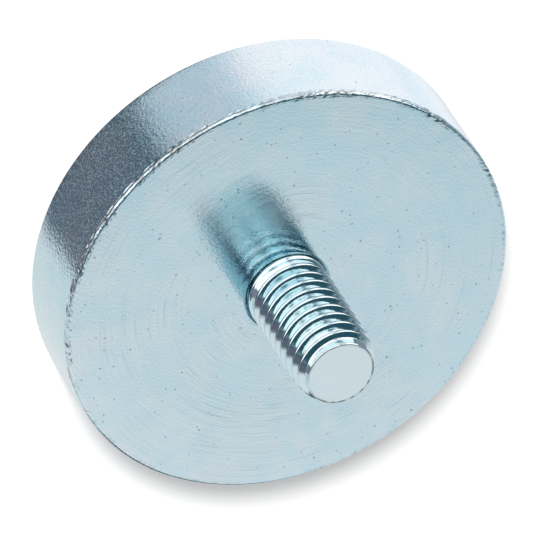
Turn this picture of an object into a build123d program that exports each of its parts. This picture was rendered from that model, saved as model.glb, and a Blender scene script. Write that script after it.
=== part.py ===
"""Flat pot magnet with a threaded stud, as a build123d part.

A turned steel pot, open downwards, holds a disc magnet that is potted in
resin. A press-in stud stands on the middle of the pot's closed face: its
flat head is let into the inside of the floor, so that the pull on the
thread goes into the steel and not into the resin.

The magnet side lies on the XY plane, the stud points along +Z and the Z
axis is the axis of the whole magnet. All sizes are in millimetres.
"""

import os

from build123d import *

# ---------------------------------------------------------------- sizes
# Pot: a turned steel cup
pot_diameter = 32.0
pot_height = 7.0
wall_thickness = 2.5
floor_thickness = 3.0
face_edge_chamfer = 0.2
open_edge_chamfer = 0.1
mouth_chamfer = 0.3
bore_corner_chamfer = 0.4

# Stud: a metric thread rolled on a blank, with a flat head at its foot
thread_size = 6.0
thread_pitch = 1.0
thread_allowance = 0.05
stud_projection = 10.0
head_diameter = 9.0
head_thickness = 1.2
head_edge_chamfer = 0.2

# Fit of the stud in the pot, all round
stud_clearance = 0.02
# Bright ring of countersink left open round the foot of the thread
countersink_margin = 0.1

# Magnet: a plated disc, set back from the rim so that the steel touches first
magnet_setback = 0.2
magnet_edge_chamfer = 0.25

# Resin: one casting that beds the magnet and fills the gap round it
resin_gap = 1.0
resin_bed = 0.1
meniscus_depth = 0.25

# ------------------------------------------------------- worked-out sizes
# Proportions of a metric thread, in pitches: how deep the root lies under
# the nominal size, and how much the blank is smaller than that size
root_depth_in_pitches = 0.6134
blank_reduction_in_pitches = 0.6495

pot_radius = pot_diameter / 2
bore_radius = pot_radius - wall_thickness
bore_depth = pot_height - floor_thickness

stud_radius = thread_size / 2 - thread_allowance
blank_radius = (thread_size - blank_reduction_in_pitches * thread_pitch) / 2
stud_end_chamfer = root_depth_in_pitches * thread_pitch
head_radius = head_diameter / 2
head_seat = bore_depth + head_thickness
shank_length = pot_height - head_seat

magnet_radius = bore_radius - resin_gap
magnet_top = bore_depth - resin_bed
magnet_thickness = magnet_top - magnet_setback

# The resin wets both walls where the magnet's broken edge ends
resin_level = magnet_setback + magnet_edge_chamfer
ring_middle_radius = (magnet_radius + bore_radius) / 2

os.makedirs("parts", exist_ok=True)

# ------------------------------------------------------------------- pot
with BuildPart() as pot:
    # Turned blank with its two outer edges broken
    with BuildSketch(Plane.XY):
        Circle(pot_radius)
    extrude(amount=pot_height)
    chamfer(pot.faces().sort_by(Axis.Z)[-1].edges(), face_edge_chamfer)
    chamfer(pot.faces().sort_by(Axis.Z)[0].edges(), open_edge_chamfer)

    # Blind bore for the magnet, with the tool's bevel left in its corner
    with BuildSketch(Plane.XY):
        Circle(bore_radius)
    extrude(amount=bore_depth, mode=Mode.SUBTRACT)
    bore_floor = pot.faces().filter_by(GeomType.PLANE).sort_by(Axis.Z)[1]
    chamfer(bore_floor.edges(), bore_corner_chamfer)
    open_rim = pot.faces().filter_by(GeomType.PLANE).sort_by(Axis.Z)[0]
    chamfer(open_rim.edges().sort_by(SortBy.RADIUS)[0], mouth_chamfer)

    # Flat-bottomed pocket that takes the head of the stud
    with BuildSketch(Plane.XY.offset(bore_depth)):
        Circle(head_radius + stud_clearance)
    extrude(amount=head_thickness, mode=Mode.SUBTRACT)

    # Hole for the shank, countersunk where the stud comes out
    with Locations((0, 0, pot_height)):
        CounterSinkHole(
            radius=blank_radius + stud_clearance,
            counter_sink_radius=stud_radius + countersink_margin,
            depth=floor_thickness,
            counter_sink_angle=90,
        )
pot.part.label = "pot"
export_step(pot.part, "parts/pot.step")

# --------------------------------------------------------- threaded stud
with BuildPart() as threaded_stud:
    # Head, flush with the inside of the floor, its leading edge broken
    with BuildSketch(Plane.XY.offset(bore_depth)):
        Circle(head_radius)
    extrude(amount=head_thickness)
    chamfer(threaded_stud.faces().sort_by(Axis.Z)[-1].edges(), head_edge_chamfer)

    # Plain shank through the floor, as thick as the blank before rolling
    with BuildSketch(Plane.XY.offset(head_seat)):
        Circle(blank_radius)
    extrude(amount=shank_length)

    # Threaded length, drawn as a plain cylinder at the size over the crests
    with BuildSketch(Plane.XY.offset(pot_height)):
        Circle(stud_radius)
    extrude(amount=stud_projection)
    chamfer(threaded_stud.faces().sort_by(Axis.Z)[-1].edges(), stud_end_chamfer)
threaded_stud.part.label = "threaded_stud"
export_step(threaded_stud.part, "parts/threaded_stud.step")

# ---------------------------------------------------------------- magnet
with BuildPart() as magnet:
    with BuildSketch(Plane.XY.offset(magnet_setback)):
        Circle(magnet_radius)
    extrude(amount=magnet_thickness)
    chamfer(magnet.edges().filter_by(GeomType.CIRCLE), magnet_edge_chamfer)
magnet.part.label = "magnet"
export_step(magnet.part, "parts/magnet.step")

# ------------------------------------------------------------ resin fill
with BuildPart() as resin_fill:
    # Half section: a thin bed over the magnet and a ring that hangs down
    # round it, hollow on its free side as the resin creeps up both walls
    with BuildSketch(Plane.XZ):
        with BuildLine():
            Polyline(
                (magnet_radius, resin_level),
                (magnet_radius, magnet_top - magnet_edge_chamfer),
                (magnet_radius - magnet_edge_chamfer, magnet_top),
                (0, magnet_top),
                (0, bore_depth),
                (bore_radius - bore_corner_chamfer, bore_depth),
                (bore_radius, bore_depth - bore_corner_chamfer),
                (bore_radius, resin_level),
            )
            ThreePointArc(
                (bore_radius, resin_level),
                (ring_middle_radius, resin_level + meniscus_depth),
                (magnet_radius, resin_level),
            )
        make_face()
    revolve(axis=Axis.Z)
resin_fill.part.label = "resin_fill"
export_step(resin_fill.part, "parts/resin_fill.step")
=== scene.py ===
"""Looks of a flat pot magnet with a threaded stud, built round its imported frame.

The magnet side lies on the floor (z = 0) and the stud points along +Z, which is
the axis of the whole magnet. Sizes in the classes are in millimetres, as on a
drawing, and MM turns them into the scene's metres. Angles round the axis are
counted from +X towards +Y.
"""

import logging
import math
from dataclasses import dataclass
from enum import Enum
from typing import Sequence

import bpy
import numpy as np
from mathutils import Matrix, Vector


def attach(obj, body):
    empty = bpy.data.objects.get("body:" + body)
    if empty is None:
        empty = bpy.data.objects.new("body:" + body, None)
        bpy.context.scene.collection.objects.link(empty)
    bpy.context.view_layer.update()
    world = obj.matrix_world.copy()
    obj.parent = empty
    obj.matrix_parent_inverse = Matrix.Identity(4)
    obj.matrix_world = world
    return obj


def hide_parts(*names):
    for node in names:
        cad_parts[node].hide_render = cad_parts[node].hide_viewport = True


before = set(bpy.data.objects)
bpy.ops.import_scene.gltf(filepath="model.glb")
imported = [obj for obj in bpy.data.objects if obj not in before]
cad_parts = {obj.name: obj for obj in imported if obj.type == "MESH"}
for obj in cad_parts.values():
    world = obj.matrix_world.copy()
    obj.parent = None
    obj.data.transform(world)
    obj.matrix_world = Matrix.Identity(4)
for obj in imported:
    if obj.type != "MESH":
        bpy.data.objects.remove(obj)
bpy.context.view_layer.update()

LOG = logging.getLogger("pot_magnet")
MM = 0.001
BODY = "root"
FULL_TURN = 2 * math.pi

Colour = tuple[float, float, float]
Vector3 = tuple[float, float, float]
Span = tuple[float, float]


class Slot(Enum):
    """The record's material slots."""

    PLATED_STEEL = "plated_steel"
    PLATED_STUD = "plated_stud"
    MAGNET_PLATING = "magnet_plating"
    RESIN = "resin"


@dataclass(frozen=True)
class Drawing:
    """Sizes that more than one sub-assembly uses, in millimetres.

    face is the height of the pot's closed face, and the bore is the room for
    the magnet on the other side. The stud's head stands in a pocket between
    bore_top and head_seat. pole_radius is the smallest ring of a piece that is
    closed on the axis.
    """

    pot_radius: float = 16.0
    face: float = 7.0
    bore_radius: float = 13.5
    bore_top: float = 4.0
    bore_bevel: float = 0.4
    head_seat: float = 5.2
    magnet_radius: float = 12.5
    magnet_top: float = 3.9
    magnet_chamfer: float = 0.25
    pole_radius: float = 0.02


DRAWING = Drawing()


# ---------------------------------------------------------------- surfaces


def rounded_profile(corners: Sequence[Vector3], steps: int) -> np.ndarray:
    """Rounds the corners of a half section, except the first and the last.

    At each corner (r, z, radius) a curve touches both sides where an arc of
    that radius would, radius * tan(turn / 2) along them, or just short of half
    of the shorter side. It is start, corner and end blended by (1 - t)^2,
    2 t (1 - t) and t^2, and at a right angle it passes 0.06 of the radius
    nearer the corner than the arc would.

    Args:
        corners: (r, z, rounding radius) of each corner, in order.
        steps: Points on each rounding, two or more.

    Returns:
        The (n, 2) points of the rounded profile.
    """
    points = np.array([corner[:2] for corner in corners], dtype=float)
    radii = np.array([corner[2] for corner in corners], dtype=float)
    before = np.roll(points, 1, axis=0) - points
    after = np.roll(points, -1, axis=0) - points
    reach_before = np.linalg.norm(before, axis=1)
    reach_after = np.linalg.norm(after, axis=1)
    before /= reach_before[:, None]
    after /= reach_after[:, None]
    opening = np.arccos(np.clip((before * after).sum(axis=1), -1.0, 1.0))
    narrowest = 1e-6
    longest_share = 0.48
    setback = radii / np.tan(np.maximum(opening, narrowest) / 2)
    setback = np.minimum(setback, longest_share * np.minimum(reach_before, reach_after))
    t = np.linspace(0.0, 1.0, steps)[None, :, None]
    start = (points + before * setback[:, None])[:, None, :]
    end = (points + after * setback[:, None])[:, None, :]
    middle = points[:, None, :]
    arcs = (1 - t) ** 2 * start + 2 * t * (1 - t) * middle + t**2 * end
    return np.vstack([points[:1], arcs[1:-1].reshape(-1, 2), points[-1:]])


def with_support(profile: np.ndarray, gap: float = 0.05, longest: float = 4.0) -> np.ndarray:
    """Adds points near both ends of each long side, so that shading stays flat on it.

    A side longer than four gaps gets a point one gap in from each end, and the
    stretch between them is divided evenly into steps no longer than the longest.

    Args:
        profile: (n, 2) points.
        gap: Distance of the added points from the ends.
        longest: Longest step left undivided.

    Returns:
        The (m, 2) points with the added ones.
    """
    sides = np.diff(profile, axis=0)
    lengths = np.linalg.norm(sides, axis=1)
    inside = np.maximum(np.ceil((lengths - 2 * gap) / longest), 1).astype(int)
    counts = np.where(lengths > 4 * gap, inside + 2, 1)
    side = np.repeat(np.arange(len(sides)), counts)
    rank = np.arange(counts.sum()) - np.repeat(np.cumsum(counts) - counts, counts)
    margin = gap / lengths[side]
    share = margin + (rank - 1) / inside[side] * (1 - 2 * margin)
    share = np.where(rank > 0, share, 0.0)
    return np.vstack([profile[side] + share[:, None] * sides[side], profile[-1:]])


def angles_round(segments: int) -> np.ndarray:
    """Evenly spaced angles once round the axis, in radians."""
    return np.linspace(0.0, FULL_TURN, segments, endpoint=False)


def turned(profile: np.ndarray, segments: int) -> np.ndarray:
    """Turns a half section about the axis: (r, z) becomes (r cos a, r sin a, z).

    Args:
        profile: (n, 2) points (r, z).
        segments: Columns round the axis.

    Returns:
        The (n, segments, 3) grid of points.
    """
    angle = angles_round(segments)[None, :]
    radius = profile[:, :1]
    height = np.broadcast_to(profile[:, 1:], (len(profile), segments))
    return np.stack([radius * np.cos(angle), radius * np.sin(angle), height], axis=-1)


def skinned(name: str, grid: np.ndarray, ring: bool) -> bpy.types.Object:
    """Makes a closed mesh from a grid of rings round the axis.

    Row i and column j are joined to their neighbours as one quad, columns wrap
    round, and rows wrap as well for a ring. Otherwise the first and last row
    are closed by a fan to a pole at their centre.

    Args:
        name: Name of the object.
        grid: (rows, columns, 3) points in millimetres, outward side to the
            right hand of increasing rows.
        ring: Whether the last row joins the first.

    Returns:
        The linked object, at the origin.
    """
    rows, columns = grid.shape[:2]
    index = np.arange(rows * columns).reshape(rows, columns)
    lower = index if ring else index[:-1]
    upper = np.roll(index, -1, axis=0) if ring else index[1:]
    corners = [lower, np.roll(lower, -1, axis=1), np.roll(upper, -1, axis=1), upper]
    faces = np.stack(corners, axis=-1).reshape(-1, 4).tolist()
    points = grid.reshape(-1, 3)
    if not ring:
        first = rows * columns
        poles = np.stack([grid[0].mean(axis=0), grid[-1].mean(axis=0)])
        points = np.vstack([points, poles])
        turn = np.roll(index, -1, axis=1)
        bottom = np.stack([turn[0], index[0], np.full(columns, first)], axis=-1)
        top = np.stack([index[-1], turn[-1], np.full(columns, first + 1)], axis=-1)
        faces += bottom.tolist() + top.tolist()
    mesh = bpy.data.meshes.new(name)
    mesh.from_pydata((points * MM).tolist(), [], faces)
    mesh.polygons.foreach_set("use_smooth", np.ones(len(mesh.polygons), dtype=bool))
    mesh.update()
    piece = bpy.data.objects.new(name, mesh)
    bpy.context.scene.collection.objects.link(piece)
    return piece


def give_values(piece: bpy.types.Object, name: str, values: np.ndarray) -> None:
    """Stores one number per vertex of the grid as an attribute, 0 at the poles.

    Args:
        piece: The piece, made by skinned.
        name: Name of the attribute.
        values: (rows, columns) numbers, in the order of the piece's grid.
    """
    attribute = piece.data.attributes.new(name, "FLOAT", "POINT")
    padded = np.zeros(len(piece.data.vertices))
    padded[: values.size] = values.ravel()
    attribute.data.foreach_set("value", padded)


# ------------------------------------------------------------------- relief


def eased(value: np.ndarray, low: float, high: float) -> np.ndarray:
    """Rises smoothly from 0 at low to 1 at high, with level ends."""
    share = np.clip((value - low) / (high - low), 0.0, 1.0)
    return share * share * (3 - 2 * share)


def between(value: np.ndarray, rise: Span, fall: Span) -> np.ndarray:
    """Rises from 0 to 1 over the first span and falls back to 0 over the second."""
    return eased(value, *rise) * (1 - eased(value, *fall))


def lifted(share: np.ndarray, least: float) -> np.ndarray:
    """Squeezes a share of 0 to 1 into the least to 1."""
    return least + (1 - least) * share


def softly_positive(value: np.ndarray, ease: float) -> np.ndarray:
    """The value where it is positive, else 0, with the corner rounded to a hyperbola."""
    return 0.5 * (value + np.hypot(value, ease))


def closed_noise(
    angle: np.ndarray, across: np.ndarray, periods: tuple[int, int], pitch: float, seed: int
) -> np.ndarray:
    """Smooth random relief that closes on itself round the axis.

    It is a sum of cosines, each with a whole number of periods round the axis
    between the two limits, a random number of periods per millimetre across
    and a random start, divided so that its spread is about one.

    Args:
        angle: Angle round the axis, in radians.
        across: Distance across the surface, in millimetres.
        periods: Fewest and most periods round the axis.
        pitch: Shortest wave across the surface, in millimetres.
        seed: Seed of the random draws.

    Returns:
        Values mostly from -2.5 to 2.5, in the shape of angle and across together.
    """
    draw = np.random.default_rng(seed)
    waves = 72
    around = draw.integers(periods[0], periods[1] + 1, waves)
    sideways = draw.uniform(-FULL_TURN, FULL_TURN, waves) / pitch
    start = draw.uniform(0.0, FULL_TURN, waves)
    phase = angle[..., None] * around + across[..., None] * sideways + start
    return np.cos(phase).sum(axis=-1) / math.sqrt(waves / 2)


@dataclass(frozen=True)
class Layer:
    """The high parts of one closed noise.

    periods and pitch are those of closed_noise. The layer is 0 where the noise
    is under low and 1 where it is over high.
    """

    periods: tuple[int, int]
    pitch: float
    low: float
    high: float
    seed: int

    def share(self, angle: np.ndarray, across: np.ndarray) -> np.ndarray:
        """Strength of the layer, from 0 to 1."""
        noise = closed_noise(angle, across, self.periods, self.pitch, self.seed)
        return eased(noise, self.low, self.high)


@dataclass(frozen=True)
class Side:
    """One side of the round: its middle in degrees, and how far it reaches.

    low and high are cosines of the angle away from the middle. The side is 0
    where the cosine is under low and 1 where it is over high.
    """

    middle: float
    low: float
    high: float

    def share(self, angle: np.ndarray) -> np.ndarray:
        """How much of the side is at an angle in radians, from 0 to 1."""
        return eased(np.cos(angle - math.radians(self.middle)), self.low, self.high)


@dataclass(frozen=True)
class Line:
    """A soft line: strongest at its middle, and a bell curve of its spread across it."""

    middle: float
    spread: float
    strength: float = 1.0

    def share(self, across: np.ndarray) -> np.ndarray:
        """Strength at a distance across the line: strength * exp(-(off / spread)^2)."""
        return self.strength * np.exp(-(((across - self.middle) / self.spread) ** 2))


# ----------------------------------------------------------- sub-assemblies


@dataclass(frozen=True)
class Thread:
    """A rolled metric thread: straight flanks between rounded crests and roots.

    crest_height is where a crest crosses +Y, above a whole number of pitches,
    and flank_angle is that of the flanks to the axis, in degrees. The spans
    are heights: the root is shallow up to the foot's, the crests get lower by
    end_drop over the end's, and the last one runs out over the vanishing one.
    """

    pitch: float = 1.0
    crest_radius: float = 2.95
    root_radius: float = 2.387
    crest_height: float = 0.07
    crest_flat: float = 0.20
    crest_ease: float = 0.045
    root_ease: float = 0.08
    flank_angle: float = 62.5
    shallow_foot: float = 0.42
    foot_span: Span = (7.3, 8.3)
    end_drop: float = 0.11
    end_span: Span = (13.8, 16.1)
    vanish_span: Span = (16.22, 16.55)

    def radius(self, angle: np.ndarray, height: np.ndarray) -> np.ndarray:
        """Radius of the thread's surface.

        The distance along the axis to the nearest crest line repeats every
        pitch, and that line rises by one pitch a turn. The flank falls by this
        distance, less half of the crest's flat, times the tangent of its angle.
        Two soft limits round it into the crest and the root.

        Args:
            angle: Angle round the axis, in radians.
            height: Height on the axis, in millimetres.

        Returns:
            The radius in millimetres.
        """
        lift = self.crest_height + (angle - math.pi / 2) / FULL_TURN * self.pitch
        phase = (height - lift) / self.pitch
        apart = np.abs(phase - np.round(phase)) * self.pitch
        crest_line = lift + np.round(phase) * self.pitch
        crest = self.crest_radius - self.end_drop * eased(crest_line, *self.end_span)
        crest = crest - (crest - self.root_radius) * eased(crest_line, *self.vanish_span)
        root = self.root_radius + self.shallow_foot * (1 - eased(height, *self.foot_span))
        slope = math.tan(math.radians(self.flank_angle))
        top = crest - softly_positive((apart - self.crest_flat / 2) * slope, self.crest_ease)
        return root + softly_positive(top - root, self.root_ease)


@dataclass(frozen=True)
class RimWear:
    """Handling wear of the pot's upper edge and of its foot, pressed in and soiled, with painted
    shade along the edge.

    Distances are along the rim's section, in millimetres from its inner end.
    The bevel ends at edge, and outer is where the wear below it ends. The rise
    named edge_rise and the painted shade line and band beside the rim's
    highlight are counted from the edge, and foot_dirt from the foot upwards.
    """

    pot_radius: float = DRAWING.pot_radius
    inner: float = 0.11
    edge: float = 0.59
    outer: float = 0.93
    fade: float = 0.14
    outer_fade: float = 0.2
    edge_rise: Span = (-0.08, 0.04)
    slant: float = 0.9
    dent_depth: float = 0.05
    scuff_depth: float = 0.012
    tooth_depth: float = 0.03
    bevel_dirt: float = 0.8
    tooth_dirt: float = 0.45
    smear_dirt: float = 0.8
    quiet: float = 0.28
    evenness: float = 0.4
    dents: Layer = Layer((70, 420), 1.1, 0.4, 1.6, 11)
    patches: Layer = Layer((4, 34), 3.0, -0.9, 0.9, 12)
    scuffs: Layer = Layer((20, 260), 0.22, 0.3, 1.5, 13)
    teeth: Layer = Layer((45, 150), 2.4, -0.3, 1.1, 14)
    smears: Layer = Layer((14, 56), 2.6, 0.1, 1.1, 15)
    foot_breaks: Layer = Layer((60, 320), 3.0, -0.5, 0.9, 16)
    # Breaks in the painted shade along the edge.
    painted_shade_breaks: Layer = Layer((10, 90), 3.0, -1.2, 0.5, 17)
    busy_side: Side = Side(80.0, -0.45, 0.35)
    # Side at 97 degrees that holds the painted shade along the edge.
    painted_shade_side: Side = Side(97.0, 0.72, 0.9)
    foot_side: Side = Side(115.0, 0.88, 0.99)
    smeared_side: Side = Side(168.0, 0.3, 0.95)
    # Painted shade beside the rim's highlight: a dark line just below the edge and a dimmer band over
    # the bevel's outer end.
    painted_shade_line: Line = Line(0.05, 0.04)
    painted_shade_band: Line = Line(-0.05, 0.08, 0.55)
    foot_dirt: Line = Line(0.2, 0.08, 0.8)

    def relief(self, angle: np.ndarray, along: np.ndarray) -> tuple[np.ndarray, np.ndarray]:
        """Depth of the wear, and how much dirt and painted shade it holds.

        Dents change quickly round the rim and scuffs quickly across it, both on
        the bevel. Teeth are broader dents below the edge. These lie aslant,
        because their angle is sheared with the distance across, and are weaker
        on the side away from the busy one. Dirt lies in all of them, and in smears
        below the edge on the smeared side. On the side at 97 degrees a dark line
        just below the edge and a dimmer band over the bevel's outer end are
        painted shade, which narrows the rim's highlight.

        Args:
            angle: Angle round the axis, in radians.
            along: Distance along the section from its inner end, in millimetres.

        Returns:
            The depth pressed in, in millimetres, and the dirt with the painted shade, from 0 to 1.
        """
        side = lifted(self.busy_side.share(angle), self.quiet)
        bevel = between(
            along, (self.inner, self.inner + self.fade), (self.edge, self.edge + self.fade)
        )
        past = along - self.edge
        below = eased(past, *self.edge_rise)
        below = below * (1 - eased(along, self.outer - self.outer_fade, self.outer))
        sheared = angle + self.slant * along / self.pot_radius
        patches = self.patches.share(angle, along)
        dents = self.dents.share(sheared, along) * patches
        scuffs = self.scuffs.share(sheared, along)
        teeth = self.teeth.share(sheared, along) * below * side
        worn = bevel * side
        depth = worn * (self.dent_depth * dents + self.scuff_depth * scuffs)
        depth = depth + self.tooth_depth * teeth
        bevel_dirt = worn * np.clip(self.bevel_dirt * (dents + scuffs * patches), 0.0, 1.0)
        smears = self.smear_dirt * self.smears.share(sheared, along) * below
        smears = smears * self.smeared_side.share(angle)
        tooth_dirt = self.tooth_dirt * teeth * lifted(patches, self.evenness)
        # Painted shade on the side at 97 degrees: a dark line just below the edge and a dimmer band
        # over the bevel's outer end, kept in the variable stain.
        stain = np.maximum(self.painted_shade_line.share(past), self.painted_shade_band.share(past))
        stain = stain * self.painted_shade_breaks.share(angle, along) * self.painted_shade_side.share(angle)
        # The dirt here is the real dirt together with the painted shade.
        dirt = np.maximum(np.maximum(bevel_dirt, smears), np.maximum(tooth_dirt, stain))
        return depth, dirt

    def foot_line(self, angle: np.ndarray, height: np.ndarray) -> np.ndarray:
        """Dirt caught just above the foot, broken up round the axis.

        Args:
            angle: Angle round the axis, in radians.
            height: Height over the foot, in millimetres.

        Returns:
            The dirt, from 0 to 1.
        """
        broken = self.foot_breaks.share(angle, height) * self.foot_side.share(angle)
        return broken * self.foot_dirt.share(height)


@dataclass(frozen=True)
class Pot:
    """The turned steel pot, open downwards, with its worn outer edge.

    The upper edge is broken by a bevel, edge_bevel high and edge_width wide,
    with a shallow hollow in the wall under it. The worn rows go on worn_reach
    past it both ways. The face is flat out to crown_start and falls slightly
    from there. Sizes that end in _round are roundings.
    """

    radius: float = DRAWING.pot_radius
    height: float = DRAWING.face
    bore_radius: float = DRAWING.bore_radius
    bore_depth: float = DRAWING.bore_top
    bore_bevel: float = DRAWING.bore_bevel
    bore_round: float = 0.1
    mouth_chamfer: float = 0.3
    mouth_round: float = 0.06
    mouth_foot_round: float = 0.05
    head_seat: float = DRAWING.head_seat
    pocket_radius: float = 4.52
    pocket_round: float = 0.05
    pocket_mouth_round: float = 0.03
    hole_radius: float = 2.695
    hole_round: float = 0.02
    sink_radius: float = 3.1
    sink_round: float = 0.05
    sink_mouth_round: float = 0.16
    sink_margin: float = 0.3
    foot_round: float = 0.26
    foot_join: float = 0.7
    foot_width: float = 0.6
    foot_height: float = 1.0
    edge_bevel: float = 0.15
    edge_width: float = 0.15
    edge_round: float = 0.26
    edge_foot_round: float = 0.05
    hollow_drop: float = 0.2
    hollow_spread: float = 0.07
    hollow_depth: float = 0.02
    crown: float = 0.055
    crown_start: float = 10.5
    crown_reach: float = 5.0
    worn_reach: float = 0.38
    row_step: float = 0.03
    wall_rows: tuple[float, ...] = (3.5, 6.2, 6.4)
    face_rows: tuple[float, ...] = (15.25, 14.9, 14.3, 13.4, 12.3, 11.0, 7.5, 3.8)
    segments: int = 900
    wear: RimWear = RimWear()

    def hidden_profile(self) -> np.ndarray:
        """Half section from the face round the hole, through the inside and out to the foot.

        It runs down the countersink and the hole, out and down the head's
        pocket, out over the bore's ceiling and down its wall to the mouth.

        Returns:
            The (n, 2) points (r, z).
        """
        sink_foot = self.height - (self.sink_radius - self.hole_radius)
        bevel_start = self.bore_radius - self.bore_bevel
        bevel_end = self.bore_depth - self.bore_bevel
        mouth = self.bore_radius + self.mouth_chamfer
        corners = (
            (self.sink_radius + self.sink_margin, self.height, 0.0),
            (self.sink_radius, self.height, self.sink_mouth_round),
            (self.hole_radius, sink_foot, self.sink_round),
            (self.hole_radius, self.head_seat, self.hole_round),
            (self.pocket_radius, self.head_seat, self.pocket_round),
            (self.pocket_radius, self.bore_depth, self.pocket_mouth_round),
            (bevel_start, self.bore_depth, self.bore_round),
            (self.bore_radius, bevel_end, self.bore_round),
            (self.bore_radius, self.mouth_chamfer, self.mouth_round),
            (mouth, 0.0, self.mouth_foot_round),
            (self.radius - self.foot_join, 0.0, 0.0),
        )
        return with_support(rounded_profile(corners, steps=3))

    def foot_profile(self) -> np.ndarray:
        """Half section of the foot: along the ground, round its corner and up the wall.

        Returns:
            The (n, 2) points (r, z).
        """
        corners = (
            (self.radius - self.foot_width, 0.0, 0.0),
            (self.radius, 0.0, self.foot_round),
            (self.radius, self.foot_height, 0.0),
        )
        return rounded_profile(corners, steps=6)

    def crown_drop(self, radius: np.ndarray) -> np.ndarray:
        """Fall of the slightly crowned face: the square of the way out from its flat middle."""
        out = np.clip((radius - self.crown_start) / self.crown_reach, 0.0, None)
        return self.crown * out**2

    def rim_profile(self) -> tuple[np.ndarray, np.ndarray]:
        """Half section of the upper edge, from the wall in to the face, in even steps.

        The bevel's inner corner is a broad rounding and its outer one a
        tighter one. Under them the wall is drawn in by a bell curve of the
        height, which is the hollow.

        Returns:
            The (n, 2) points, and for each its distance from the inner end.
        """
        bevel_low = self.height - self.edge_bevel
        bevel_in = self.radius - self.edge_width
        corners = (
            (self.radius, bevel_low - self.worn_reach, 0.0),
            (self.radius, bevel_low, self.edge_foot_round),
            (bevel_in, self.height, self.edge_round),
            (bevel_in - self.worn_reach, self.height, 0.0),
        )
        line = rounded_profile(corners, steps=9)
        step = np.r_[0.0, np.cumsum(np.linalg.norm(np.diff(line, axis=0), axis=1))]
        even = np.linspace(0.0, step[-1], int(step[-1] / self.row_step) + 1)
        points = np.stack([np.interp(even, step, line[:, k]) for k in (0, 1)], axis=-1)
        points[:, 1] -= self.crown_drop(points[:, 0])
        hollow = Line(bevel_low - self.hollow_drop, self.hollow_spread, self.hollow_depth)
        points[:, 0] -= hollow.share(points[:, 1])
        return points, step[-1] - even

    def press_in(self, rows: np.ndarray, rim: np.ndarray, depth: np.ndarray) -> None:
        """Moves the rim's rows inwards by the depth of the wear.

        Args:
            rows: (n, columns, 3) part of the grid to move.
            rim: (n, 2) half section of these rows.
            depth: (n, columns) depth along the normal, in millimetres.
        """
        normal = np.stack([np.gradient(rim[:, 1]), -np.gradient(rim[:, 0])], axis=-1)
        normal /= np.linalg.norm(normal, axis=1, keepdims=True)
        angle = angles_round(self.segments)
        inward = normal[:, :1] * depth
        rows[..., 0] -= inward * np.cos(angle)
        rows[..., 1] -= inward * np.sin(angle)
        rows[..., 2] -= normal[:, 1:] * depth

    def build(self) -> bpy.types.Object:
        """Builds the pot's skin: its whole half section turned into a ring, then worn.

        Returns:
            The piece, which rides on the body and stands for its node.
        """
        hidden = self.hidden_profile()
        foot = self.foot_profile()
        wall = np.stack([np.full(len(self.wall_rows), self.radius), self.wall_rows], axis=-1)
        rim, along = self.rim_profile()
        inward = np.array(self.face_rows)
        face = np.stack([inward, self.height - self.crown_drop(inward)], axis=-1)
        grid = turned(np.concatenate([hidden, foot, wall, rim, face]), self.segments)
        low = slice(len(hidden), len(hidden) + len(foot))
        first = low.stop + len(wall)
        high = slice(first, first + len(rim))
        angle = angles_round(self.segments)[None, :]
        depth, dirt = self.wear.relief(angle, along[:, None])
        self.press_in(grid[high], rim, depth)
        piece = skinned("pot_shell", grid, ring=True)
        # worn holds the rim's dirt with the painted shade along its edge, and the dark line above the
        # foot.
        worn = np.zeros(grid.shape[:2])
        worn[high] = dirt
        worn[low] = self.wear.foot_line(angle, foot[:, 1:])
        give_values(piece, "worn", worn)
        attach(piece, BODY)
        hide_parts("pot")
        return piece


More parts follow.
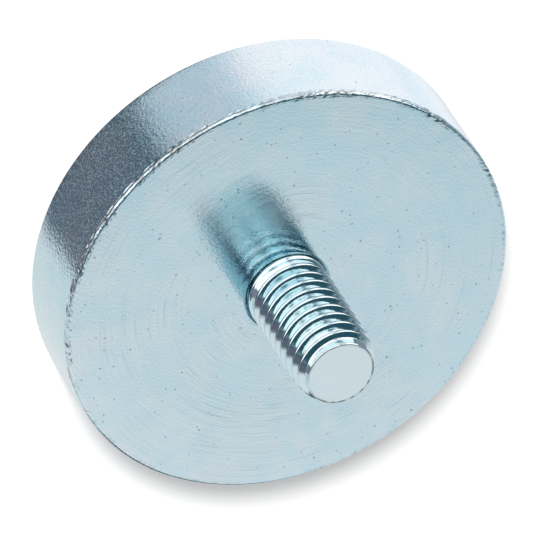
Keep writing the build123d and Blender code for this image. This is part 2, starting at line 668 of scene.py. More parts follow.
@dataclass(frozen=True)
class Stud:
    """The press-in stud: head and shank in the pot's floor, thread above it.

    The thread is drawn from thread_start below the face. Over blend_span,
    counted from the face, it grows out of the shank. A broken dark line lies
    at an angle in radians round the tip's rounding: a burred edge, made
    stronger on the side at 275 degrees by a painted reflection of the dark
    ground below.
    """

    thread: Thread = Thread()
    face_height: float = DRAWING.face
    head_radius: float = 4.5
    head_low: float = DRAWING.bore_top
    head_seat: float = DRAWING.head_seat
    head_chamfer: float = 0.2
    head_round: float = 0.03
    shank_radius: float = 2.675
    shank_round: float = 0.02
    thread_start: float = 0.4
    thread_gap: float = 0.02
    blend_span: Span = (-0.32, -0.04)
    tip_height: float = 17.0
    tip_radius: float = 2.3366
    tip_ease: float = 0.09
    tip_inset: float = 0.15
    tip_steps: int = 9
    end_rows: tuple[float, ...] = (0.975, 0.955, 0.7, 0.35, 0.01)
    # The tip's dark line: a burred edge with a painted reflection of the dark ground below.
    burr_and_reflection_line: Line = Line(1.2, 0.6)
    burr_and_reflection_end: float = 0.8
    burr_and_reflection_breaks: Layer = Layer((3, 24), 1.0, -0.9, 0.6, 23)
    # Painted reflection: the side at 275 degrees where the tip's dark line is stronger.
    painted_reflection_side: Side = Side(275.0, -0.1, 0.7)
    burr_and_reflection_evenness: float = 0.35
    burr_quiet: float = 0.4
    columns: int = 196
    rows_per_mm: int = 42

    def lower_profile(self) -> np.ndarray:
        """Half section of the head and the shank, from the axis up to the thread.

        Returns:
            The (n, 2) points (r, z).
        """
        chamfer = self.head_chamfer
        shank_end = self.face_height - self.thread_start - self.thread_gap
        corners = (
            (DRAWING.pole_radius, self.head_low, 0.0),
            (self.head_radius, self.head_low, self.head_round),
            (self.head_radius, self.head_seat - chamfer, self.head_round),
            (self.head_radius - chamfer, self.head_seat, self.head_round),
            (self.shank_radius, self.head_seat, self.shank_round),
            (self.shank_radius, shank_end, 0.0),
        )
        return with_support(rounded_profile(corners, steps=3), longest=3.0)

    def threaded_rows(self) -> np.ndarray:
        """Rows of the thread, between the shank and the tip's rounding.

        Each point lies at the thread's radius, blended into the shank's below
        the face and limited by a 45 degree cone near the tip.

        Returns:
            The (rows, columns, 3) points.
        """
        low = self.face_height - self.thread_start
        rows = int((self.tip_height - low) * self.rows_per_mm)
        heights = np.linspace(low, self.tip_height - self.tip_ease, rows)
        angle, height = np.meshgrid(angles_round(self.columns), heights)
        out = eased(height - self.face_height, *self.blend_span)
        radius = self.thread.radius(angle, height)
        radius = self.shank_radius + (radius - self.shank_radius) * out
        radius = np.minimum(radius, self.tip_radius + (self.tip_height - height))
        return np.stack([radius * np.cos(angle), radius * np.sin(angle), height], axis=-1)

    def tip_profile(self) -> tuple[np.ndarray, np.ndarray]:
        """Half section of the tip: a quarter round, then the flat end.

        The quarter's radius is tip_ease, and its centre is drawn in from
        tip_radius by tip_inset of that.

        Returns:
            The (n, 2) points, and the angle round the quarter of its points.
        """
        turn = np.linspace(0.0, math.pi / 2, self.tip_steps)[1:]
        radius = self.tip_radius + self.tip_ease * (np.cos(turn) - self.tip_inset)
        height = self.tip_height + self.tip_ease * (np.sin(turn) - 1.0)
        flat = np.array(self.end_rows) * self.tip_radius
        radius = np.concatenate([radius, flat])
        height = np.concatenate([height, np.full(len(flat), self.tip_height)])
        return np.stack([radius, height], axis=-1), turn

    def burr_and_painted_reflection(self, turn: np.ndarray) -> np.ndarray:
        """Darkness of the tip's line on its rounding and on the first row of the flat end: a burred
        edge with a painted reflection.

        Args:
            turn: Angle round the rounding of each of its rows, in radians.

        Returns:
            The (rows, columns) darkness, from 0 to 1.
        """
        angle = angles_round(self.columns)
        breaks = self.burr_and_reflection_breaks.share(angle, np.zeros(len(angle)))
        around = lifted(breaks, self.burr_and_reflection_evenness)
        # Painted reflection: stronger on the side at 275 degrees, where the tip's edge mirrors the
        # dark ground below.
        around = around * lifted(self.painted_reflection_side.share(angle), self.burr_quiet)
        line = np.append(self.burr_and_reflection_line.share(turn), self.burr_and_reflection_end)
        return line[:, None] * around[None, :]

    def build(self) -> bpy.types.Object:
        """Builds the stud's skin: head, shank, thread and tip in one grid.

        Returns:
            The piece, which rides on the body and stands for its node.
        """
        tip, turn = self.tip_profile()
        lower = turned(self.lower_profile(), self.columns)
        threaded = self.threaded_rows()
        grid = np.concatenate([lower, threaded, turned(tip, self.columns)])
        piece = skinned("stud_threaded", grid, ring=False)
        # worn holds the tip's dark line: a burred edge with a painted reflection.
        worn = np.zeros(grid.shape[:2])
        first = len(lower) + len(threaded)
        burr_and_painted_reflection = self.burr_and_painted_reflection(turn)
        worn[first : first + len(burr_and_painted_reflection)] = burr_and_painted_reflection
        give_values(piece, "worn", worn)
        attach(piece, BODY)
        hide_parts("threaded_stud")
        return piece


@dataclass(frozen=True)
class Magnet:
    """The plated disc magnet, set a little back from the pot's mouth."""

    radius: float = DRAWING.magnet_radius
    low: float = 0.2
    high: float = DRAWING.magnet_top
    chamfer: float = DRAWING.magnet_chamfer
    corner_round: float = 0.14
    segments: int = 480

    def build(self) -> bpy.types.Object:
        """Builds the magnet's skin.

        Its half section goes out along the lower face, over a chamfer, up the
        wall, over another and back in, and is turned about the axis.

        Returns:
            The piece, which rides on the body and stands for its node.
        """
        inner = self.radius - self.chamfer
        corners = (
            (DRAWING.pole_radius, self.low, 0.0),
            (inner, self.low, self.corner_round),
            (self.radius, self.low + self.chamfer, self.corner_round),
            (self.radius, self.high - self.chamfer, self.corner_round),
            (inner, self.high, self.corner_round),
            (DRAWING.pole_radius, self.high, 0.0),
        )
        profile = with_support(rounded_profile(corners, steps=6), gap=0.06, longest=3.0)
        piece = skinned("magnet_disc", turned(profile, self.segments), ring=False)
        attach(piece, BODY)
        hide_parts("magnet")
        return piece


@dataclass(frozen=True)
class Resin:
    """The potting resin: a ring round the magnet and a thin bed over it."""

    inner_radius: float = DRAWING.magnet_radius
    outer_radius: float = DRAWING.bore_radius
    edge_height: float = 0.45
    hollow_height: float = 0.70
    hollow_steps: int = 21
    magnet_top: float = DRAWING.magnet_top
    magnet_chamfer: float = DRAWING.magnet_chamfer
    top: float = DRAWING.bore_top
    top_bevel: float = DRAWING.bore_bevel
    ripple: float = 0.022
    ripple_periods: tuple[int, int] = (2, 22)
    ripple_pitch: float = 2.0
    seed: int = 5
    segments: int = 720

    def build(self) -> bpy.types.Object:
        """Builds the resin's skin.

        The free surface is a hollow: its height is that of the edges plus the
        hollow's depth times 1 - t squared, t running from -1 to 1 across the
        ring, plus a slow ripple round it that dies out at both walls.

        Returns:
            The piece, which rides on the body and stands for its node.
        """
        t = np.linspace(-1.0, 1.0, self.hollow_steps)
        middle = (self.inner_radius + self.outer_radius) / 2
        half = (self.outer_radius - self.inner_radius) / 2
        across = middle + half * t
        rise = (self.hollow_height - self.edge_height) * (1 - t**2)
        free = np.stack([across, self.edge_height + rise], axis=-1)
        over_magnet = np.array(
            [
                [DRAWING.pole_radius, self.magnet_top],
                [self.inner_radius - self.magnet_chamfer, self.magnet_top],
                [self.inner_radius, self.magnet_top - self.magnet_chamfer],
                free[0],
            ]
        )
        under_floor = np.array(
            [
                free[-1],
                [self.outer_radius, self.top - self.top_bevel],
                [self.outer_radius - self.top_bevel, self.top],
                [DRAWING.pole_radius, self.top],
            ]
        )
        inside = with_support(over_magnet)
        profile = np.concatenate([inside, free[1:-1], with_support(under_floor)])
        grid = turned(profile, self.segments)
        angle = angles_round(self.segments)[None, :]
        waves = closed_noise(
            angle, across[1:-1, None], self.ripple_periods, self.ripple_pitch, self.seed
        )
        rows = slice(len(inside), len(inside) + len(free) - 2)
        grid[rows, :, 2] += self.ripple * (1 - t[1:-1, None] ** 2) * waves
        piece = skinned("resin_ring", grid, ring=False)
        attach(piece, BODY)
        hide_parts("resin_fill")
        return piece


# ----------------------------------------------------------------- finishes


class Nodes:
    """Short calls that add nodes to one tree and link them.

    A value is a socket of another node or a plain number, vector or colour.
    """

    def __init__(self, tree: bpy.types.NodeTree) -> None:
        """Keeps the tree that the nodes go into."""
        self.tree = tree

    def add(self, kind: str, **settings: object) -> bpy.types.Node:
        """Adds a node.

        Args:
            kind: Blender's name of the node's type.
            settings: Properties to set on the node.

        Returns:
            The new node.
        """
        node = self.tree.nodes.new(kind)
        for name, value in settings.items():
            setattr(node, name, value)
        return node

    def feed(self, socket: bpy.types.NodeSocket, value: object) -> None:
        """Links a socket to an input, or sets a plain value on it.

        Args:
            socket: The input.
            value: What goes into it; a colour needs no alpha.
        """
        if isinstance(value, bpy.types.NodeSocket):
            self.tree.links.new(value, socket)
        elif isinstance(value, (tuple, list)) and socket.type == "RGBA" and len(value) == 3:
            socket.default_value = (*value, 1.0)
        else:
            socket.default_value = value

    def math(self, operation: str, *values: object) -> bpy.types.NodeSocket:
        """Works out a number.

        Args:
            operation: Name of the Math node's operation.
            values: What it works on, in order.

        Returns:
            The result.
        """
        node = self.add("ShaderNodeMath", operation=operation)
        for socket, value in zip(node.inputs, values):
            self.feed(socket, value)
        return node.outputs[0]

    def vector(self, operation: str, *values: object) -> bpy.types.NodeSocket:
        """Works out a vector, or a number where the operation gives one.

        Args:
            operation: Name of the Vector Math node's operation.
            values: Vectors that it works on, in order.

        Returns:
            The result.
        """
        node = self.add("ShaderNodeVectorMath", operation=operation)
        for socket, value in zip(node.inputs, values):
            self.feed(socket, value)
        number = operation in ("DOT_PRODUCT", "LENGTH")
        return node.outputs["Value" if number else "Vector"]

    def scaled(self, vector: bpy.types.NodeSocket, factor: object) -> bpy.types.NodeSocket:
        """Multiplies a vector by a number.

        Args:
            vector: The vector.
            factor: The number.

        Returns:
            The longer or shorter vector.
        """
        result = self.vector("SCALE", vector)
        self.feed(result.node.inputs["Scale"], factor)
        return result

    def eased(self, value: object, low: object, high: object) -> bpy.types.NodeSocket:
        """Smooth step of a value.

        Args:
            value: The value.
            low: Where the step is 0.
            high: Where the step is 1; it may be under low.

        Returns:
            The step, from 0 to 1.
        """
        node = self.add("ShaderNodeMapRange", interpolation_type="SMOOTHSTEP")
        self.feed(node.inputs["Value"], value)
        self.feed(node.inputs["From Min"], low)
        self.feed(node.inputs["From Max"], high)
        return node.outputs["Result"]

    def moved(self, share: object, first: float, second: float) -> bpy.types.NodeSocket:
        """Number that goes from the first to the second as the share goes from 0 to 1."""
        return self.math("MULTIPLY_ADD", share, second - first, first)

    def mixed(self, share: object, first: object, second: object) -> bpy.types.NodeSocket:
        """Mixes two colours.

        Args:
            share: How much of the second, from 0 to 1.
            first: Colour at 0.
            second: Colour at 1.

        Returns:
            The mixed colour.
        """
        node = self.add("ShaderNodeMix", data_type="RGBA")
        factor, from_colour, to_colour = (node.inputs[k] for k in (0, 6, 7))
        self.feed(factor, share)
        self.feed(from_colour, first)
        self.feed(to_colour, second)
        return node.outputs[2]

    def noise(self, place: object, scale: object, detail: float) -> bpy.types.NodeSocket:
        """Noise at a place.

        Args:
            place: The place.
            scale: Patches per unit of the place.
            detail: Finer octaves added to the first.

        Returns:
            The noise, mostly from 0.2 to 0.8.
        """
        node = self.add("ShaderNodeTexNoise")
        self.feed(node.inputs["Vector"], place)
        self.feed(node.inputs["Scale"], scale)
        self.feed(node.inputs["Detail"], detail)
        return node.outputs["Fac"]


class Coat(Nodes):
    """The nodes of one new material, round its Principled BSDF.

    place is the point on the part in millimetres.
    """

    def __init__(self, name: str, metallic: float) -> None:
        """Starts the material.

        Args:
            name: Name of the material.
            metallic: 1 for a metal, 0 for anything else.
        """
        self.material = bpy.data.materials.new(name)
        self.material.use_nodes = True
        super().__init__(self.material.node_tree)
        self.shader = self.tree.nodes["Principled BSDF"]
        self.put("Metallic", metallic)
        here = self.add("ShaderNodeTexCoord").outputs["Object"]
        self.place = self.scaled(here, 1.0 / MM)

    def put(self, label: str, value: object) -> None:
        """Feeds an input of the shader."""
        self.feed(self.shader.inputs[label], value)

    def raise_by(self, height: object) -> None:
        """Bumps the surface.

        Args:
            height: Height in thousandths of a millimetre.
        """
        bump = self.add("ShaderNodeBump")
        self.feed(bump.inputs["Strength"], 1.0)
        self.feed(bump.inputs["Distance"], 0.001 * MM)
        self.feed(bump.inputs["Height"], height)
        self.put("Normal", bump.outputs["Normal"])


class Effect:
    """A shader node group that several finishes share, built once."""

    def __init__(self, name: str, inputs: dict[str, float], output: str) -> None:
        """Starts the group.

        Args:
            name: Name of the group.
            inputs: Label and preset value of each input; Place is a vector.
            output: Label of the output, which is a number.
        """
        self.tree = bpy.data.node_groups.new(name, "ShaderNodeTree")
        for label, value in inputs.items():
            kind = "NodeSocketVector" if label == "Place" else "NodeSocketFloat"
            socket = self.tree.interface.new_socket(label, in_out="INPUT", socket_type=kind)
            if kind == "NodeSocketFloat":
                socket.default_value = value
        self.tree.interface.new_socket(output, in_out="OUTPUT", socket_type="NodeSocketFloat")
        self.nodes = Nodes(self.tree)
        self.given = self.nodes.add("NodeGroupInput").outputs
        self.result = self.nodes.add("NodeGroupOutput").inputs

    def use(self, nodes: Nodes, **values: object) -> bpy.types.NodeSocket:
        """Places the group in a material.

        Args:
            nodes: Nodes of the material.
            values: Value of each input, by its label in small letters.

        Returns:
            The group's output.
        """
        node = nodes.add("ShaderNodeGroup", node_tree=self.tree)
        for label, value in values.items():
            nodes.feed(node.inputs[label.capitalize()], value)
        return node.outputs[0]


class Effects:
    """The effects that the finishes share."""

    def __init__(self) -> None:
        """Builds every group once."""
        self.turning = self.turning_marks()
        self.specks = self.scattered_specks()
        self.clouds = self.clouding()

    @staticmethod
    def turning_marks() -> Effect:
        """Concentric marks of the turning tool.

        The noise is read at (radius * fineness, x / radius * length,
        y / radius * length), so it changes quickly outwards and slowly round
        the axis, and has no seam.

        Returns:
            The group, which puts out the height from 0 to 1.
        """
        effect = Effect("turning_marks", {"Place": 0, "Fineness": 6, "Length": 2}, "Height")
        n = effect.nodes
        fineness, length = effect.given["Fineness"], effect.given["Length"]
        parts = n.add("ShaderNodeSeparateXYZ")
        n.feed(parts.inputs[0], effect.given["Place"])
        flat = n.add("ShaderNodeCombineXYZ")
        n.feed(flat.inputs[0], parts.outputs[0])
        n.feed(flat.inputs[1], parts.outputs[1])
        radius = n.vector("LENGTH", flat.outputs[0])
        way = n.add("ShaderNodeSeparateXYZ")
        n.feed(way.inputs[0], n.vector("NORMALIZE", flat.outputs[0]))
        place = n.add("ShaderNodeCombineXYZ")
        n.feed(place.inputs[0], n.math("MULTIPLY", radius, fineness))
        n.feed(place.inputs[1], n.math("MULTIPLY", way.outputs[0], length))
        n.feed(place.inputs[2], n.math("MULTIPLY", way.outputs[1], length))
        n.feed(effect.result["Height"], n.noise(place.outputs[0], scale=1.0, detail=3.0))
        return effect

    @staticmethod
    def scattered_specks() -> Effect:
        """Small uneven pits and specks of varied strength.

        The place is bent by a noise and divided into the cells of a Voronoi
        pattern. A share of the cells holds a speck at its point, and the cell's
        own random numbers give its size and strength.

        Returns:
            The group, which puts out the specks' strength from 0 to 1.
        """
        bend_scale, bend, least_size, core, faintest = 6.0, 0.25, 0.4, 0.4, 0.4
        inputs = {"Place": 0, "Spacing": 1.5, "Size": 0.08, "Share": 0.5}
        effect = Effect("scattered_specks", inputs, "Mask")
        n = effect.nodes
        here, spacing = effect.given["Place"], effect.given["Spacing"]
        bent = n.add("ShaderNodeTexNoise")
        n.feed(bent.inputs["Vector"], here)
        n.feed(bent.inputs["Scale"], bend_scale)
        shifted = n.vector("ADD", here, n.scaled(bent.outputs["Color"], bend))
        cells = n.add("ShaderNodeTexVoronoi")
        n.feed(cells.inputs["Vector"], n.scaled(shifted, n.math("DIVIDE", 1.0, spacing)))
        n.feed(cells.inputs["Scale"], 1.0)
        draws = n.add("ShaderNodeSeparateColor")
        n.feed(draws.inputs[0], cells.outputs["Color"])
        kept = n.math("LESS_THAN", draws.outputs[0], effect.given["Share"])
        away = n.math("MULTIPLY", cells.outputs["Distance"], spacing)
        growth = n.math("ADD", least_size, draws.outputs[1])
        size = n.math("MULTIPLY", effect.given["Size"], growth)
        inside = n.eased(away, size, n.math("MULTIPLY", size, core))
        strength = n.math("MULTIPLY", kept, n.moved(draws.outputs[2], faintest, 1.0))
        n.feed(effect.result["Mask"], n.math("MULTIPLY", inside, strength))
        return effect

    @staticmethod
    def clouding() -> Effect:
        """Faint uneven patches, as a broad noise and a finer one added together.

        Returns:
            The group, which puts out the patches' strength from 0 to 1.
        """
        finer, broad_share, low, high = 4.0, 0.7, 0.36, 0.64
        effect = Effect("clouding", {"Place": 0, "Size": 5.0}, "Share")
        n = effect.nodes
        scale = n.math("DIVIDE", 1.0, effect.given["Size"])
        broad = n.noise(effect.given["Place"], scale, detail=2.0)
        fine = n.noise(effect.given["Place"], n.math("MULTIPLY", scale, finer), detail=3.0)
        broad = n.math("MULTIPLY", broad, broad_share)
        fine = n.math("MULTIPLY", fine, 1.0 - broad_share)
        n.feed(effect.result["Share"], n.eased(n.math("ADD", broad, fine), low, high))
        return effect


@dataclass(frozen=True)
class Patches:
    """The high parts of a noise: 0 where it is under low and 1 where it is over high."""

    scale: float
    detail: float
    low: float
    high: float

    def share(self, nodes: Nodes, place: bpy.types.NodeSocket) -> bpy.types.NodeSocket:
        """Strength of the patches at a place in millimetres, from 0 to 1."""
        return nodes.eased(nodes.noise(place, self.scale, self.detail), self.low, self.high)


@dataclass(frozen=True)
class ZincPlate:
    """Clear-passivated zinc on turned steel: pale blue metal with fine marks and specks.

    marks, grain, side_grain and pits are heights in thousandths of a
    millimetre. face_edge and foot_edge are the heights on the part between
    which the side starts at its upper and lower end. The coarse and fine marks
    are each a fineness and a length, and the large and small specks a spacing
    and a size.
    """

    name: str = "zinc_plate"
    clear: Colour = (0.46, 0.69, 0.77)
    milky: Colour = (0.535, 0.715, 0.775)
    scored: Colour = (0.38, 0.59, 0.67)
    # Dark colour of specks, wear and mottle, and also of the painted shade and painted reflection
    # that the attribute worn carries.
    stain: Colour = (0.05, 0.075, 0.085)
    roughness: float = 0.09
    milky_roughness: float = 0.14
    dirt_roughness: float = 0.3
    cloud_size: float = 5.0
    face_edge: Span = (6.95, 6.85)
    foot_edge: Span = (0.02, 0.2)
    coarse_marks: Span = (3.0, 1.2)
    fine_marks: Span = (14.0, 3.0)
    marks: float = 4.4
    coarse_gain: float = 1.2
    lines: float = 0.7
    coarse_lines: Span = (0.42, 0.6)
    fine_lines: Span = (0.5, 0.72)
    marked: Patches = Patches(0.2, 0.0, 0.44, 0.62)
    marked_range: Span = (0.55, 1.55)
    grain: float = 7.0
    side_grain: float = 20.0
    grain_scale: float = 5.0
    mottle: float = 0.16
    face_mottle: float = 0.2
    mottles: Patches = Patches(7.0, 1.0, 0.5, 0.8)
    sparkle: float = 0.25
    sparkles: Patches = Patches(8.5, 1.0, 0.48, 0.66)
    speck_share: float = 0.8
    side_specks: float = 0.25
    large_specks: Span = (1.15, 0.095)
    small_specks: Span = (0.6, 0.075)
    small_strength: float = 0.6
    pits: float = 4.0

    def side(self, coat: Coat) -> bpy.types.NodeSocket:
        """Where the pot's round side is, by its height on the part.

        Args:
            coat: Nodes of the material.

        Returns:
            1 on the side, 0 on the face and the underside.
        """
        parts = coat.add("ShaderNodeSeparateXYZ")
        coat.feed(parts.inputs[0], coat.place)
        height = parts.outputs[2]
        under_face = coat.eased(height, *self.face_edge)
        return coat.math("MULTIPLY", under_face, coat.eased(height, *self.foot_edge))

    def specks(
        self, coat: Coat, effects: Effects, side: bpy.types.NodeSocket
    ) -> bpy.types.NodeSocket:
        """Large specks and fainter small ones, fewer of both on the side.

        Args:
            coat: Nodes of the material.
            effects: The shared effects.
            side: Where the side is.

        Returns:
            The specks' strength, from 0 to 1.
        """
        share = coat.moved(side, self.speck_share, self.speck_share * self.side_specks)
        large, small = (
            effects.specks.use(coat, place=coat.place, spacing=spacing, size=size, share=share)
            for spacing, size in (self.large_specks, self.small_specks)
        )
        return coat.math("MAXIMUM", large, coat.math("MULTIPLY", small, self.small_strength))

    def dress(self, piece: bpy.types.Object, effects: Effects) -> None:
        """Builds the material and puts it on the piece.

        Clouds mix clear and milky plating. Where coarse and fine turning marks
        are both high the face is scored. Specks, wear with its painted shade and
        painted reflection, and a faint mottle are stained, and small patches of
        the side are less metallic, which sparkles. The relief is the marks, plus
        a grain, less the pits.

        Args:
            piece: The piece, with its wear and painted shade in the attribute worn.
            effects: The shared effects.
        """
        n = Coat(self.name, metallic=1.0)
        clouds = effects.clouds.use(n, place=n.place, size=self.cloud_size)
        side = self.side(n)
        specks = self.specks(n, effects, side)
        coarse, fine = (
            effects.turning.use(n, place=n.place, fineness=fineness, length=length)
            for fineness, length in (self.coarse_marks, self.fine_marks)
        )
        marked = n.moved(self.marked.share(n, n.place), *self.marked_range)
        lined = n.math(
            "MULTIPLY", n.eased(fine, *self.fine_lines), n.eased(coarse, *self.coarse_lines)
        )
        lined = n.math("MULTIPLY", lined, n.moved(side, self.lines, 0.0))
        lined = n.math("MULTIPLY", lined, marked)
        mottle = n.math("MULTIPLY", self.mottles.share(n, n.place), self.mottle)
        mottle = n.math("MULTIPLY", mottle, n.moved(side, self.face_mottle, 1.0))
        # worn carries wear and dirt, and also painted shade along the rim's edge and a painted
        # reflection on the stud's tip; all are darkened to the stain colour.
        worn = n.add("ShaderNodeAttribute", attribute_name="worn").outputs["Fac"]
        dark = n.math("MAXIMUM", n.math("MAXIMUM", specks, worn), mottle)
        colour = n.mixed(lined, n.mixed(clouds, self.clear, self.milky), self.scored)
        n.put("Base Color", n.mixed(dark, colour, self.stain))
        sparkle = n.math("MULTIPLY", self.sparkles.share(n, n.place), side)
        n.put("Metallic", n.moved(sparkle, 1.0, 1.0 - self.sparkle))
        rough = n.moved(clouds, self.roughness, self.milky_roughness)
        n.put("Roughness", n.math("MULTIPLY_ADD", dark, self.dirt_roughness, rough))
        height = n.math("MULTIPLY", fine, self.marks)
        height = n.math("MULTIPLY_ADD", coarse, self.marks * self.coarse_gain, height)
        height = n.math("MULTIPLY", height, marked)
        grain = n.noise(n.place, self.grain_scale, detail=2.0)
        coarseness = n.moved(side, self.grain, self.side_grain)
        height = n.math("MULTIPLY_ADD", grain, coarseness, height)
        n.raise_by(n.math("MULTIPLY_ADD", specks, -self.pits, height))
        piece.data.materials.append(n.material)


def rolled_zinc() -> ZincPlate:
    """The stud's plating: paler and smoother than the pot's, without specks or scoring."""
    return ZincPlate(
        name="zinc_plate_rolled",
        clear=(0.53, 0.74, 0.80),
        milky=(0.575, 0.75, 0.795),
        roughness=0.05,
        milky_roughness=0.09,
        marks=1.4,
        lines=0.0,
        grain=3.0,
        side_grain=3.0,
        mottle=0.0,
        sparkle=0.0,
        speck_share=0.0,
    )


@dataclass(frozen=True)
class NickelPlate:
    """Nickel plating of the magnet: warm bright metal with a slight orange peel and rub marks.

    peel is the height of the orange peel, in thousandths of a millimetre.
    """

    name: str = "nickel_plate"
    clear: Colour = (0.66, 0.62, 0.55)
    dull: Colour = (0.52, 0.50, 0.46)
    stain: Colour = (0.12, 0.10, 0.08)
    roughness: float = 0.2
    dull_roughness: float = 0.36
    cloud_size: float = 7.0
    speck_spacing: float = 1.6
    speck_size: float = 0.1
    speck_share: float = 0.6
    rub_fineness: float = 2.0
    rub_length: float = 0.8
    peel: float = 3.0
    peel_scale: float = 3.0

    def dress(self, piece: bpy.types.Object, effects: Effects) -> None:
        """Builds the material and puts it on the piece.

        Clouds mix clear and dull plating, with stained specks. The relief is
        the orange peel, which is a noise, plus the rub marks.

        Args:
            piece: The piece.
            effects: The shared effects.
        """
        n = Coat(self.name, metallic=1.0)
        clouds = effects.clouds.use(n, place=n.place, size=self.cloud_size)
        specks = effects.specks.use(
            n,
            place=n.place,
            spacing=self.speck_spacing,
            size=self.speck_size,
            share=self.speck_share,
        )
        colour = n.mixed(clouds, self.clear, self.dull)
        n.put("Base Color", n.mixed(specks, colour, self.stain))
        n.put("Roughness", n.moved(clouds, self.roughness, self.dull_roughness))
        rubs = effects.turning.use(
            n, place=n.place, fineness=self.rub_fineness, length=self.rub_length
        )
        peel = n.noise(n.place, self.peel_scale, detail=2.0)
        n.raise_by(n.math("MULTIPLY_ADD", peel, self.peel, rubs))
        piece.data.materials.append(n.material)


@dataclass(frozen=True)
class PottingResin:
    """Cured black epoxy: glossy where it set freely, dusty in patches, with small bubbles.

    waves and craters are heights in thousandths of a millimetre.
    """

    name: str = "potting_resin"
    deep: Colour = (0.012, 0.013, 0.015)
    dusty: Colour = (0.045, 0.045, 0.047)
    bubble: Colour = (0.09, 0.09, 0.092)
    roughness: float = 0.18
    dusty_roughness: float = 0.45
    cloud_size: float = 2.5
    bubble_spacing: float = 0.7
    bubble_size: float = 0.13
    bubble_share: float = 0.5
    waves: float = 12.0
    wave_scale: float = 2.0
    craters: float = 12.0

    def dress(self, piece: bpy.types.Object, effects: Effects) -> None:
        """Builds the material and puts it on the piece.

        Clouds mix deep and dusty resin, with paler bubbles. The relief is a
        slow noise, less a crater at each bubble.

        Args:
            piece: The piece.
            effects: The shared effects.
        """
        n = Coat(self.name, metallic=0.0)
        clouds = effects.clouds.use(n, place=n.place, size=self.cloud_size)
        bubbles = effects.specks.use(
            n,
            place=n.place,
            spacing=self.bubble_spacing,
            size=self.bubble_size,
            share=self.bubble_share,
        )
        colour = n.mixed(clouds, self.deep, self.dusty)
        n.put("Base Color", n.mixed(bubbles, colour, self.bubble))
        n.put("Roughness", n.moved(clouds, self.roughness, self.dusty_roughness))
        slow = n.noise(n.place, self.wave_scale, detail=2.0)
        height = n.math("MULTIPLY", slow, self.waves)
        n.raise_by(n.math("MULTIPLY_ADD", bubbles, -self.craters, height))
        piece.data.materials.append(n.material)


# ------------------------------------------------------------------- studio


class Outline(Enum):
    """How a part of the studio is bounded."""

    BOX = "box"
    OVAL = "oval"


LAMP_WHITE: Colour = (2.3, 1.75, 1.62)
DEEP_TEAL: Colour = (0.036, 0.10, 0.135)
PALE_GREY: Colour = (0.68, 0.66, 0.70)


@dataclass(frozen=True)
class Zone:
    """One soft-edged part of the studio, in degrees round it and above its table.

    It reaches half_width to both sides of its azimuth and half_height above
    and below its elevation. Its edges fade over edge_across and edge_up to
    both sides of these bounds. An oval uses edge_up alone.
    """

    azimuth: float
    elevation: float
    half_width: float
    half_height: float
    edge_across: float
    edge_up: float
    colour: Colour
    outline: Outline = Outline.BOX

    def mask(self, n: Nodes, azimuth: object, elevation: object) -> bpy.types.NodeSocket:
        """How much of the zone's colour shows in a direction.

        A box is the product of two soft steps, one across and one upwards. An
        oval is one soft step of the distance from its centre, counted in half
        widths across and half heights upwards.

        Args:
            n: Nodes of the world.
            azimuth: Direction round the studio, in degrees.
            elevation: Direction above its table, in degrees.

        Returns:
            1 inside the zone and 0 outside it.
        """
        turn = n.math("WRAP", n.math("SUBTRACT", azimuth, self.azimuth), -180.0, 180.0)
        aside = n.math("ABSOLUTE", turn)
        above = n.math("ABSOLUTE", n.math("SUBTRACT", elevation, self.elevation))
        if self.outline is Outline.OVAL:
            wide = n.math("POWER", n.math("DIVIDE", aside, self.half_width), 2.0)
            high = n.math("POWER", n.math("DIVIDE", above, self.half_height), 2.0)
            reach = n.math("SQRT", n.math("ADD", wide, high))
            edge = self.edge_up / self.half_height
            return n.eased(reach, 1.0 + edge, 1.0 - edge)
        outer, inner = self.half_width + self.edge_across, self.half_width - self.edge_across
        across = n.eased(aside, outer, inner)
        outer, inner = self.half_height + self.edge_up, self.half_height - self.edge_up
        return n.math("MULTIPLY", across, n.eased(above, outer, inner))


